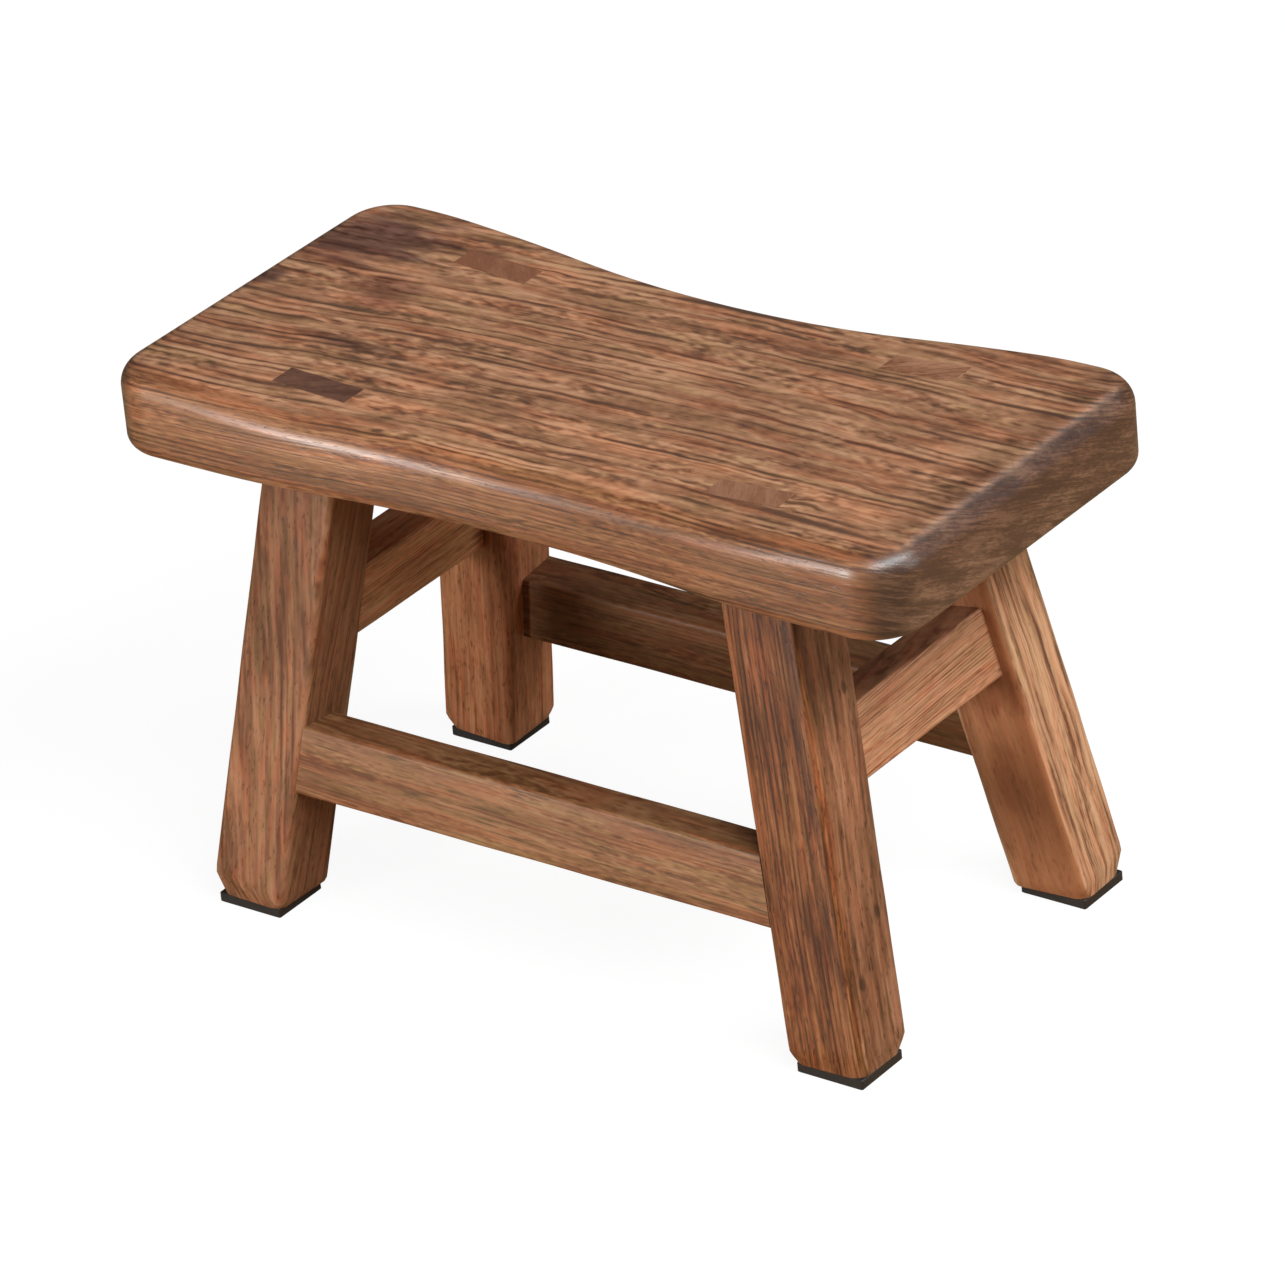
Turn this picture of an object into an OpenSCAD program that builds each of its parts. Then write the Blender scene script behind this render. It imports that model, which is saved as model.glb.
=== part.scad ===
// Low wooden stool: a dished and waisted seat on four splayed legs, held by two
// end stretchers and two lower long stretchers, with a thin pad under each leg.
// X runs along the seat, Y across it, Z up. The floor is Z = 0.
// Every joint is a mortise and tenon: the legs go right through the seat.

/* [Seat] */
// Length of the seat, along X
seat_l = 300; // [270:5:360]
// Width of the seat at its ends, along Y
seat_w = 145; // [130:5:180]
// Height of the seat's ends above the floor
stool_h = 185; // [175:5:260]
// Thickness of the seat at its ends
seat_t = 29; // [28:0.5:36]
// Depth of the dish in the seat's top
dish = 5; // [3:0.5:11]
// Width of the level crown at each end of the top
crown_w = 22; // [20:1:36]
// Share of the dish's half length that is hollow rather than crowned
hollow_share = 0.85; // [0.5:0.05:0.9]
// How far each long side draws in at the middle of the seat
waist = 7; // [1:0.5:10]
// From the seat's end to where its waist begins
waist_inset = 39; // [30:1:60]
// Share of the waist's half length that is hollow rather than crowned
waist_share = 0.6; // [0.5:0.05:0.9]
// Radius of the seat's corners, seen from above
corner_r = 18; // [12:1:24]
// Radius of the soft round along the top edge
top_r = 8; // [4:0.5:9]
// Radius of the round along the bottom edge
bottom_r = 5; // [2:0.5:6]

/* [Legs] */
// Leg's width across its grain, along X
leg_w = 28; // [24:0.5:32]
// Leg's depth across its grain, along Y
leg_d = 25.5; // [22:0.5:30]
// Radius of the leg's long edges
leg_edge_r = 2.5; // [1:0.5:4]
// Lean of the legs along the seat, in degrees
splay_x = 9.8; // [6:0.2:12]
// Lean of the legs across the seat, in degrees
splay_y = 7.2; // [4:0.2:9]
// From the seat's end to a leg's centre line, at the seat's underside
leg_end_inset = 63.5; // [56:0.5:72]
// From the seat's side to a leg's centre line, at the seat's underside
leg_side_inset = 30; // [26:0.5:34]
// Height of the bevel round the foot, along the leg's centre line
foot_bevel_h = 4.5; // [2.5:0.5:8]
// Angle of that bevel from the leg's faces, in degrees
foot_bevel_angle = 16; // [8:1:30]

/* [Stretchers] */
// Height of an end stretcher's section
end_h = 25; // [20:0.5:30]
// Thickness of an end stretcher
end_t = 15.5; // [12:0.5:18]
// Height above the floor of an end stretcher's outer top edge
end_top_z = 110; // [104:1:120]
// From the legs' outer faces in to an end stretcher's outer face
end_inset = 4.2; // [2:0.2:6]
// Height of a long stretcher's section
long_h = 24; // [18:0.5:28]
// Thickness of a long stretcher
long_t = 16; // [12:0.5:18]
// Height above the floor of a long stretcher's outer top edge
long_top_z = 69.5; // [60:0.5:76]
// From the legs' outer faces in to a long stretcher's outer face
long_inset = 0.8; // [0.6:0.2:5]
// Radius of the stretchers' long edges
stretcher_edge_r = 1; // [0.5:0.5:2]

/* [Joints] */
// Thickness of the leg tenon that goes through the seat, along Y
tenon_t = 10; // [6:0.5:12]
// From the leg's outer face in to the tenon's outer face
tenon_setback = 0.3; // [0.2:0.1:3]
// Shoulder left at each end of the leg tenon's width
tenon_side = 0.2; // [0.2:0.2:4]
// Depth of the flat housing that a leg's shoulder sits in
housing_d = 1.5; // [1:0.5:3]
// Thickness of the blind tenons on the stretchers
stub_t = 8; // [6:0.5:10]
// Shoulder above and below a stretcher's tenon
stub_shoulder = 4; // [2:0.5:6]
// Length of a stretcher's tenon inside the leg
stub_l = 12; // [8:0.5:13]
// Glue gap on each side of every tenon
joint_gap = 0.1; // [0.05:0.05:0.3]

/* [Pads] */
// Thickness of the pad under each foot
pad_t = 3.5; // [2:0.5:6]
// From the leg's faces in to the pad's edge
pad_inset = 2; // [2:0.2:5]
// Radius of the pad's corners, seen from above
pad_corner_r = 0.5; // [0.5:0.5:3]

/* [Hidden] */
$fn = 32;

// Smoothness of the seat: stations along the straight side, steps round a
// corner and steps round each edge
side_steps = 44;
corner_steps = 6;
round_steps = 5;

// Space added past a surface where a tool cuts through it
past = 30;

// Colours as in the photograph
seat_colour = [0.47, 0.30, 0.19];
leg_colour = [0.50, 0.30, 0.19];
stretcher_colour = [0.58, 0.39, 0.25];
pad_colour = [0.07, 0.07, 0.08];

// The seat's rounds are kept within the wood that is left in the middle
middle_t = seat_t - dish;
top_round = min(top_r, 0.6 * middle_t);
bottom_round = min(bottom_r, 0.38 * middle_t);
seat_bottom_z = stool_h - seat_t;
dish_half = seat_l / 2 - crown_w;
waist_half = seat_l / 2 - waist_inset;

// Rise at x of a curve that is level at 0 and at half, where it has climbed
// by rise: a hollow arc up to share of half, then a crowned arc
function two_arcs(x, rise, half, share) =
    let (
        turn = 2 * atan(rise / half),
        radius = half / sin(turn),
        hollow = share * radius,
        crown = radius - hollow,
        a = min(abs(x), half)
    )
    a < hollow * sin(turn)
        ? hollow - sqrt(hollow * hollow - a * a)
        : rise - crown + sqrt(crown * crown - (half - a) * (half - a));

function top_z(x) = stool_h - dish + two_arcs(x, dish, dish_half, hollow_share);
function waist_in(x) = waist - two_arcs(x, waist, waist_half, waist_share);

// Stations of the straight side, shared by the seat and the tenons' ends
straight_half = seat_l / 2 - corner_r;
stations = [for (i = [0 : side_steps]) straight_half * (2 * i / side_steps - 1)];

// Leg centre lines: where they meet the floor, and where they are at a height
splay_top_x = seat_l / 2 - leg_end_inset;
splay_top_y = seat_w / 2 - leg_side_inset;
foot_x = splay_top_x + seat_bottom_z * tan(splay_x);
foot_y = splay_top_y + seat_bottom_z * tan(splay_y);
function leg_x(z) = foot_x - z * tan(splay_x);
function leg_y(z) = foot_y - z * tan(splay_y);

// The turn about X that gives the lean across the seat once the leg has also
// been turned about Y
roll_y = atan(tan(splay_y) * cos(splay_x));

// Half widths of a leg where a level plane cuts it
level_half_w = leg_w / 2 / cos(splay_x);
level_half_d = leg_d / 2 / cos(splay_y);

// The leg's shoulder sits in a flat housing
shoulder_z = seat_bottom_z + housing_d;

// Pieces that stand in one quarter are drawn at +X +Y and mirrored
module quarter(side_x, side_y)
    mirror([side_x < 0 ? 1 : 0, 0, 0])
        mirror([0, side_y < 0 ? 1 : 0, 0])
            children();

// A rectangle with true arcs at its corners, centred
module soft_rectangle(w, d, r) {
    square([w - 2 * r, d], center = true);
    square([w, d - 2 * r], center = true);
    for (x = [-1, 1], y = [-1, 1])
        translate([x * (w / 2 - r), y * (d / 2 - r)])
            circle(r);
}

// Everything between two heights
module between(low, high)
    translate([-seat_l, -seat_l, low])
        cube([2 * seat_l, 2 * seat_l, high - low]);

// One long side of the seat's outline, drawn inset, from left to right
function half_outline(inset) =
    let (r = corner_r - inset, y = corner_r - seat_w / 2)
    concat(
        [for (i = [0 : corner_steps])
            let (a = 180 + 90 * i / corner_steps)
            [-straight_half + r * cos(a), y + r * sin(a)]],
        [for (i = [1 : side_steps - 1]) [stations[i], y - r + waist_in(stations[i])]],
        [for (i = [0 : corner_steps])
            let (a = 270 + 90 * i / corner_steps)
            [straight_half + r * cos(a), y + r * sin(a)]]
    );

function outline(inset) =
    let (front = half_outline(inset), last = len(front) - 1)
    concat(front, [for (i = [last : -1 : 0]) [front[i][0], -front[i][1]]]);

// Rings of the seat's skin, from the underside up and in over the top edge
rings = concat(
    [for (k = [0 : round_steps])
        let (a = 90 * k / round_steps, lift = bottom_round * (1 - cos(a)))
        [for (p = outline(bottom_round * (1 - sin(a))))
            [p[0], p[1], seat_bottom_z + lift]]],
    [for (k = [0 : round_steps])
        let (a = 90 * k / round_steps, drop = top_round * (1 - sin(a)))
        [for (p = outline(top_round * (1 - cos(a))))
            [p[0], p[1], top_z(p[0]) - drop]]]
);

module seat_blank() {
    ring_n = len(rings[0]);
    top_ring = (len(rings) - 1) * ring_n;
    polyhedron(
        points = [for (ring = rings) for (p = ring) p],
        faces = concat(
            [for (r = [0 : len(rings) - 2], j = [0 : ring_n - 1])
                let (a = r * ring_n + j, b = r * ring_n + (j + 1) % ring_n)
                [a, a + ring_n, b + ring_n, b]],
            [for (j = [0 : ring_n / 2 - 2])
                [j, j + 1, ring_n - 2 - j, ring_n - 1 - j]],
            [for (j = [0 : ring_n / 2 - 2])
                [top_ring + j, top_ring + ring_n - 1 - j,
                 top_ring + ring_n - 2 - j, top_ring + j + 1]]
        )
    );
}

// Everything below the seat's top surface
module under_seat_top()
    rotate([90, 0, 0])
        linear_extrude(seat_w, center = true)
            polygon(concat(
                [[-straight_half, 0]],
                [for (x = stations) [x, top_z(x)]],
                [[straight_half, 0]]
            ));

// The frame of the +X +Y leg: its own Z runs up its centre line
module along_leg()
    translate([foot_x, foot_y, 0])
        rotate([roll_y, -splay_x, 0])
            children();

// Leg timber with its long edges rounded, longer than the leg
module leg_timber(grow = 0)
    along_leg()
        translate([0, 0, -past])
            linear_extrude(stool_h + 2 * past)
                soft_rectangle(leg_w + 2 * grow, leg_d + 2 * grow, leg_edge_r + grow);

// The same timber with square edges, which the stretchers' shoulders meet
module leg_block()
    along_leg()
        translate([-leg_w / 2, -leg_d / 2, -past])
            cube([leg_w, leg_d, stool_h + 2 * past]);

// The through tenon, near the leg's outer face, from the shoulder up
module tenon(grow = 0)
    intersection() {
        along_leg()
            translate([
                -leg_w / 2 + tenon_side - grow,
                leg_d / 2 - tenon_setback - tenon_t - grow,
                0
            ])
                cube([
                    leg_w - 2 * tenon_side + 2 * grow,
                    tenon_t + 2 * grow,
                    stool_h + 2 * past
                ]);
        between(shoulder_z, stool_h + past);
    }

// Wedges that bevel the foot on all four sides
module foot_bevels()
    along_leg()
        for (side = [[0, leg_w], [90, leg_d], [180, leg_w], [270, leg_d]])
            rotate([0, 0, side[0]])
                translate([side[1] / 2, 0, pad_t / cos(splay_x) + foot_bevel_h])
                    rotate([0, foot_bevel_angle, 0])
                        translate([0, -past, -past])
                            cube([past, 2 * past, past]);

// A bar of the stretchers' kind: its outer top edge lies along Y at X = Z = 0
module bar(thick, high, half_l, r)
    translate([-thick / 2, 0, -high / 2])
        rotate([90, 0, 0])
            linear_extrude(2 * half_l, center = true)
                soft_rectangle(thick, high, r);

// The blind tenons of such a bar, as one piece from end to end
module stubs(thick, high, half_l, grow = 0)
    translate([
        -thick / 2 - stub_t / 2 - grow,
        -half_l - grow,
        -high + stub_shoulder - grow
    ])
        cube([
            stub_t + 2 * grow,
            2 * (half_l + grow),
            high - 2 * stub_shoulder + 2 * grow
        ]);

// Where the +X end stretcher and the +Y long stretcher lie. Both are drawn
// with their length along Y, so the long one is turned a quarter turn.
module at_end_stretcher()
    translate([leg_x(end_top_z) + level_half_w - end_inset, 0, end_top_z])
        rotate([0, -splay_x, 0])
            children();

module at_long_stretcher()
    translate([0, leg_y(long_top_z) + level_half_d - long_inset, long_top_z])
        rotate([splay_y, 0, 0])
            rotate([0, 0, 90])
                children();

end_mid_z = end_top_z - end_h / 2;
long_mid_z = long_top_z - long_h / 2;
end_stub_half = leg_y(end_mid_z) - level_half_d + stub_l;
long_stub_half = leg_x(long_mid_z) - level_half_w + stub_l;

module end_stubs(grow = 0)
    at_end_stretcher() stubs(end_t, end_h, end_stub_half, grow);

module long_stubs(grow = 0)
    at_long_stretcher() stubs(long_t, long_h, long_stub_half, grow);

module seat()
    color(seat_colour)
        difference() {
            seat_blank();
            for (x = [-1, 1], y = [-1, 1])
                quarter(x, y) {
                    intersection() {
                        leg_timber(joint_gap);
                        between(0, shoulder_z);
                    }
                    tenon(joint_gap);
                }
        }

module leg(side_x, side_y)
    color(leg_colour)
        quarter(side_x, side_y)
            difference() {
                union() {
                    intersection() {
                        leg_timber();
                        between(pad_t, shoulder_z);
                    }
                    intersection() {
                        tenon();
                        under_seat_top();
                    }
                }
                foot_bevels();
                end_stubs(joint_gap);
                long_stubs(joint_gap);
            }

module end_stretcher(side_x)
    color(stretcher_colour)
        mirror([side_x < 0 ? 1 : 0, 0, 0]) {
            difference() {
                at_end_stretcher() bar(end_t, end_h, leg_y(end_mid_z), stretcher_edge_r);
                for (y = [-1, 1])
                    quarter(1, y) leg_block();
            }
            end_stubs();
        }

module long_stretcher(side_y)
    color(stretcher_colour)
        mirror([0, side_y < 0 ? 1 : 0, 0]) {
            difference() {
                at_long_stretcher() bar(long_t, long_h, leg_x(long_mid_z), stretcher_edge_r);
                for (x = [-1, 1])
                    quarter(x, 1) leg_block();
            }
            long_stubs();
        }

module foot_pad(side_x, side_y)
    color(pad_colour)
        quarter(side_x, side_y)
            translate([leg_x(pad_t), leg_y(pad_t), 0])
                linear_extrude(pad_t)
                    soft_rectangle(
                        2 * (level_half_w - pad_inset),
                        2 * (level_half_d - pad_inset),
                        pad_corner_r
                    );

module leg_front_left() leg(-1, -1);
module leg_front_right() leg(1, -1);
module leg_back_left() leg(-1, 1);
module leg_back_right() leg(1, 1);
module end_stretcher_left() end_stretcher(-1);
module end_stretcher_right() end_stretcher(1);
module long_stretcher_front() long_stretcher(-1);
module long_stretcher_back() long_stretcher(1);
module foot_pad_front_left() foot_pad(-1, -1);
module foot_pad_front_right() foot_pad(1, -1);
module foot_pad_back_left() foot_pad(-1, 1);
module foot_pad_back_right() foot_pad(1, 1);

seat();
leg_front_left();
leg_front_right();
leg_back_left();
leg_back_right();
end_stretcher_left();
end_stretcher_right();
long_stretcher_front();
long_stretcher_back();
foot_pad_front_left();
foot_pad_front_right();
foot_pad_back_left();
foot_pad_back_right();
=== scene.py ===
import math

import bmesh
import bpy
from mathutils import Euler, Matrix, Vector, noise


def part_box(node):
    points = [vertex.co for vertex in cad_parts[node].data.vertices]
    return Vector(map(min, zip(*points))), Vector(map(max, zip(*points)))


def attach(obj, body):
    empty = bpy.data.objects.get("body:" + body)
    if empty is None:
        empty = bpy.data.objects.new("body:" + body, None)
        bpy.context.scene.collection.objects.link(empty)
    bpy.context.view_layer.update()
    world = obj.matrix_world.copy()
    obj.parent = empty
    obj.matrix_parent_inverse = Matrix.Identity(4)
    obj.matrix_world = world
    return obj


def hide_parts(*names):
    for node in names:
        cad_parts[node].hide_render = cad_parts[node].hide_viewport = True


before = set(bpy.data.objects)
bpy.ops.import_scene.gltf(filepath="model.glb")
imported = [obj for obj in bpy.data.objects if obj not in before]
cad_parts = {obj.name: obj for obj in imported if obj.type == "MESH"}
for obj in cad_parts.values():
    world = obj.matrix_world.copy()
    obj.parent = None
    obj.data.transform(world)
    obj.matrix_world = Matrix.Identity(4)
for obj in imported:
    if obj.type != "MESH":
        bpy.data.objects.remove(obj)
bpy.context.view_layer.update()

# Lengths are in millimetres and angles in radians, in the frame's axes: X along
# the seat, Y across it, Z up. new_piece() turns lengths into metres.
MM = 0.001

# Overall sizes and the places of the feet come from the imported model
seat_low, seat_high = (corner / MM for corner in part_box("seat"))
pad_low, pad_high = (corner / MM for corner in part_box("foot_pad_back_right"))
SEAT_L = seat_high.x - seat_low.x
SEAT_W = seat_high.y - seat_low.y
STOOL_H = seat_high.z
SEAT_BOTTOM = seat_low.z
PAD_T = pad_high.z
PAD_W = pad_high.x - pad_low.x
PAD_D = pad_high.y - pad_low.y

# Seat: dish in the top, waist in the long sides, and the rounds along the edges
DISH = 5.0
DISH_HALF = SEAT_L / 2 - 22.0
HOLLOW_SHARE = 0.85
WAIST = 7.0
WAIST_HALF = SEAT_L / 2 - 39.0
WAIST_SHARE = 0.6
CORNER_R = 18.0
TOP_R = 8.0
BOTTOM_R = 5.0

# Legs: section, lean, and the bevel round the foot
LEG_W = 28.0
LEG_D = 25.5
LEG_EDGE_R = 2.5
SPLAY_X = math.radians(9.8)
SPLAY_Y = math.radians(7.2)
BEVEL_H = 4.5
BEVEL_ANGLE = math.radians(16.0)
FOOT_X = (pad_low.x + pad_high.x) / 2 + PAD_T * math.tan(SPLAY_X)
FOOT_Y = (pad_low.y + pad_high.y) / 2 + PAD_T * math.tan(SPLAY_Y)
LEVEL_HALF_W = LEG_W / 2 / math.cos(SPLAY_X)
LEVEL_HALF_D = LEG_D / 2 / math.cos(SPLAY_Y)

# Stretchers: section, height of the outer top edge, and set-back from the legs' faces
END_H = 25.0
END_T = 15.5
END_TOP = 110.0
END_INSET = 4.2
LONG_H = 24.0
LONG_T = 16.0
LONG_TOP = 69.5
LONG_INSET = 0.8
STRETCHER_EDGE_R = 1.0

# Joints: through tenons in the seat, blind tenons on the stretchers
TENON_T = 10.0
TENON_SETBACK = 0.3
TENON_SIDE = 0.2
HOUSING = 1.5
STUB_T = 8.0
STUB_SHOULDER = 4.0
STUB_L = 12.0
JOINT_GAP = 0.1

# Cuts run this far past the surface that they go through
PAST = 30.0
# A leg's tenon starts this far inside its timber, and ends this far under the seat's surface
TENON_ROOT = 4.0
TENON_DROP = 0.03
# The stretchers' shoulders run this far into the legs, so that no gap shows beside their arrises
SHOULDER_BITE = 0.6

# Hand finish: how deep the sanding left each surface, and over what length it changes
SEAT_SWELL = 0.22
SEAT_SWELL_L = 38.0
SEAT_RIPPLE = 0.06
SEAT_RIPPLE_L = 9.0
# The top's uneven surface fades out over this many rows at its sides, and this length at its ends
FADE_ROWS = 4
FADE_L = 8.0
LEG_SWELL = 0.1
LEG_SWELL_L = 34.0
BAR_SWELL = 0.25
BAR_SWELL_L = 30.0
# The radius of a leg's arrises starts this much under the true one, and swings up by the next value
ARRIS_SHARPER = 0.5
ARRIS_SWING = 0.8
ARRIS_SWING_L = 26.0
# The bevel round a foot is rounded over this much at its top, and blunts the arrises as it narrows
BEVEL_EASE = 0.8
BEVEL_BLUNTS = 1.2
# The stretchers' arrises are this much blunter than the true radius
BAR_EDGE_MORE = 0.2
# Pads: their broken lower and upper edges, and the radius of their corners
PAD_LOW_EDGE = 0.35
PAD_TOP_EDGE = 0.25
PAD_CORNER_R = 0.6
# Starting values of the uneven surfaces. Each leg and stretcher adds its own number to its kind's.
SWELL_SEED = 3.0
RIPPLE_SEED = 8.0
LEG_SEED = 5.0
END_SEED = 11.0
LONG_SEED = 21.0

# Steps round the arcs of an outline, and along its sides
LEG_OUTLINE = (6, 4)
HOUSING_OUTLINE = (6, 1)
BAR_OUTLINE = (4, 3)
PAD_OUTLINE = (4, 8)
# Edges sharper than this are drawn crisp
SHARP_ANGLE = math.radians(35.0)

# The four quarters of the stool, as signs of X and Y
QUARTERS = {
    "front_left": (-1, -1),
    "front_right": (1, -1),
    "back_left": (-1, 1),
    "back_right": (1, 1),
}


# Mesh helpers

def new_piece(name, points, faces, flip=False):
    """A mesh object from points in millimetres, with its faces turned over if it was mirrored."""
    mesh = bpy.data.meshes.new(name)
    turned = [tuple(reversed(face)) for face in faces] if flip else faces
    mesh.from_pydata([Vector(point) * MM for point in points], [], turned)
    mesh.validate()
    piece = bpy.data.objects.new(name, mesh)
    bpy.context.scene.collection.objects.link(piece)
    return piece


def shade(piece):
    """Smooth faces, with sharp edges kept crisp."""
    piece.data.shade_smooth()
    piece.data.set_sharp_from_angle(angle=SHARP_ANGLE)


def combine(piece, tools, operation):
    """Cuts the tools out of the piece, or joins them to it, and deletes them."""
    for tool in tools:
        change = piece.modifiers.new(operation.lower(), "BOOLEAN")
        change.operation = operation
        change.solver = "EXACT"
        change.object = tool
    graph = bpy.context.evaluated_depsgraph_get()
    result = bpy.data.meshes.new_from_object(piece.evaluated_get(graph))
    piece.modifiers.clear()
    piece.data = result
    for tool in tools:
        bpy.data.objects.remove(tool)


def wobble(x, y, z, size, seed):
    """A smooth value from 0 to 1 that changes over about size millimetres."""
    place = Vector((x / size + seed, y / size - seed, z / size + 2.0 * seed))
    return min(max(0.5 + 0.75 * noise.noise(place), 0.0), 1.0)


def rounded_rectangle(half_w, half_d, radius, steps, side_steps):
    """Points round a rectangle with arcs at its corners, from its lower left corner."""
    corners = ((-1, -1, 180), (1, -1, 270), (1, 1, 0), (-1, 1, 90))
    points = []
    for index, (side_x, side_y, start) in enumerate(corners):
        centre = Vector((side_x * (half_w - radius), side_y * (half_d - radius)))
        for k in range(steps + 1):
            angle = math.radians(start + 90 * k / steps)
            points.append(centre + radius * Vector((math.cos(angle), math.sin(angle))))
        next_x, next_y, _ = corners[(index + 1) % 4]
        away = Vector((math.cos(angle), math.sin(angle))) * radius
        end = Vector((next_x * (half_w - radius), next_y * (half_d - radius))) + away
        start_point = points[-1]
        for k in range(1, side_steps):
            points.append(start_point.lerp(end, k / side_steps))
    return points


def skin(rings):
    """Quads between neighbouring rings, and one face over each end."""
    count = len(rings[0])
    points = [point for ring in rings for point in ring]
    faces = []
    for level in range(len(rings) - 1):
        for k in range(count):
            a = level * count + k
            b = level * count + (k + 1) % count
            faces.append((a, b, b + count, a + count))
    last = (len(rings) - 1) * count
    faces.append(tuple(range(count - 1, -1, -1)))
    faces.append(tuple(range(last, last + count)))
    return points, faces


def box_tool(name, low, high, place):
    """A block from low to high, moved by place()."""
    corners = [(x, y, z) for z in (low.z, high.z) for y in (low.y, high.y) for x in (low.x, high.x)]
    faces = [(0, 2, 3, 1), (4, 5, 7, 6), (0, 1, 5, 4), (2, 6, 7, 3), (0, 4, 6, 2), (1, 3, 7, 5)]
    return new_piece(name, [place(Vector(corner)) for corner in corners], faces)


def tidy_normals(piece):
    """Faces turned so that they all look outwards."""
    mesh = bmesh.new()
    mesh.from_mesh(piece.data)
    bmesh.ops.recalc_face_normals(mesh, faces=mesh.faces)
    mesh.to_mesh(piece.data)
    mesh.free()


# Seat

def two_arcs(x, rise, half, share):
    """Rise at x of a hollow arc that turns into a crowned one and is level at half."""
    turn = 2 * math.atan(rise / half)
    radius = half / math.sin(turn)
    hollow = share * radius
    crown = radius - hollow
    a = min(abs(x), half)
    if a < hollow * math.sin(turn):
        return hollow - math.sqrt(hollow ** 2 - a ** 2)
    return rise - crown + math.sqrt(crown ** 2 - (half - a) ** 2)


def top_z(x):
    return STOOL_H - DISH + two_arcs(x, DISH, DISH_HALF, HOLLOW_SHARE)


def waist_in(x):
    return WAIST - two_arcs(x, WAIST, WAIST_HALF, WAIST_SHARE)


SIDE_STEPS = 132
CORNER_STEPS = 16
EDGE_STEPS = 12
ACROSS_STEPS = 34
STRAIGHT_HALF = SEAT_L / 2 - CORNER_R


def half_outline(inset):
    """The seat's front edge from left to right, drawn inset."""
    radius = CORNER_R - inset
    y = CORNER_R - SEAT_W / 2
    points = []
    for k in range(CORNER_STEPS + 1):
        angle = math.radians(180 + 90 * k / CORNER_STEPS)
        points.append((-STRAIGHT_HALF + radius * math.cos(angle), y + radius * math.sin(angle)))
    for k in range(1, SIDE_STEPS):
        x = STRAIGHT_HALF * (2 * k / SIDE_STEPS - 1)
        points.append((x, y - radius + waist_in(x)))
    for k in range(CORNER_STEPS + 1):
        angle = math.radians(270 + 90 * k / CORNER_STEPS)
        points.append((STRAIGHT_HALF + radius * math.cos(angle), y + radius * math.sin(angle)))
    return points


def hand_worn(x, y, z):
    """How far the sanded surface lies below the true one, in millimetres."""
    swell = SEAT_SWELL * wobble(x, y, z, SEAT_SWELL_L, SWELL_SEED)
    return swell + SEAT_RIPPLE * wobble(x, y, z, SEAT_RIPPLE_L, RIPPLE_SEED)


def end_line(start, end):
    """The points between two corners, along one end of the seat."""
    return [Vector(start).lerp(Vector(end), k / ACROSS_STEPS) for k in range(1, ACROSS_STEPS)]


def seat_ring(inset, height):
    """A ring round the seat at an inset, where height(x) gives its Z."""
    front = half_outline(inset)
    back = [(x, -y) for x, y in reversed(front)]
    outline = front + end_line(front[-1], back[0]) + back + end_line(back[-1], front[0])
    points = []
    for x, y in outline:
        z = height(x)
        dip = hand_worn(x, y, z)
        points.append(Vector((x * (1 - dip / SEAT_L), y * (1 - dip / SEAT_W), z)))
    return points


def seat_blank():
    """The seat as one closed skin, before its mortises are cut."""
    rings = []
    for k in range(EDGE_STEPS + 1):
        angle = math.pi / 2 * k / EDGE_STEPS
        inset = BOTTOM_R * (1 - math.sin(angle))
        lift = BOTTOM_R * (1 - math.cos(angle))
        rings.append(seat_ring(inset, lambda x, lift=lift: SEAT_BOTTOM + lift))
    for k in range(EDGE_STEPS + 1):
        angle = math.pi / 2 * k / EDGE_STEPS
        inset = TOP_R * (1 - math.cos(angle))
        drop = TOP_R * (1 - math.sin(angle))
        rings.append(seat_ring(inset, lambda x, drop=drop: top_z(x) - drop))
    points, faces = skin(rings)
    faces = faces[:-2]
    cap(points, faces, 0, lambda x: SEAT_BOTTOM, False)
    cap(points, faces, (len(rings) - 1) * len(rings[0]), top_z, True)
    return new_piece("seat_wood", points, faces)


def cap(points, faces, first, height, upper):
    """Fills a ring with rows of quads that run across the seat."""
    between = ACROSS_STEPS - 1
    half = 2 * CORNER_STEPS + SIDE_STEPS + 1
    turn = first + half + between
    reach = abs(points[first].x)
    rows = [[first] + [turn + half + between - k for k in range(1, ACROSS_STEPS)] + [turn + half - 1]]
    for j in range(1, half - 1):
        front = points[first + j]
        back = points[turn + half - 1 - j]
        row = [first + j]
        for k in range(1, ACROSS_STEPS):
            place = front.lerp(back, k / ACROSS_STEPS)
            from_end = (reach - abs(place.x)) / FADE_L
            share = min(1.0, k / FADE_ROWS, (ACROSS_STEPS - k) / FADE_ROWS, from_end)
            sunk = hand_worn(place.x, place.y, place.z) * share
            place.z = height(place.x) + (-sunk if upper else 0.0)
            row.append(len(points))
            points.append(place)
        row.append(turn + half - 1 - j)
        rows.append(row)
    rows.append([first + half - 1] + [first + half - 1 + k for k in range(1, ACROSS_STEPS)] + [turn])
    for left, right in zip(rows, rows[1:]):
        for k in range(ACROSS_STEPS):
            quad = (left[k], right[k], right[k + 1], left[k + 1])
            faces.append(quad if upper else tuple(reversed(quad)))


# Legs

# The +X +Y leg's own axes: Z up its centre line, X and Y square to its faces
LEG_ROLL = math.atan(math.tan(SPLAY_Y) * math.cos(SPLAY_X))
LEG_TURN = Matrix.Rotation(-SPLAY_X, 3, "Y") @ Matrix.Rotation(LEG_ROLL, 3, "X")
LEG_FOOT = Vector((FOOT_X, FOOT_Y, 0))


def leg_x(z):
    return FOOT_X - z * math.tan(SPLAY_X)


def leg_y(z):
    return FOOT_Y - z * math.tan(SPLAY_Y)


SHOULDER_Z = SEAT_BOTTOM + HOUSING


def on_leg(point):
    return LEG_FOOT + LEG_TURN @ point


def mirrored(sides):
    """A move from the +X +Y quarter to another one."""
    return lambda point: Vector((point.x * sides[0], point.y * sides[1], point.z))


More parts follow.
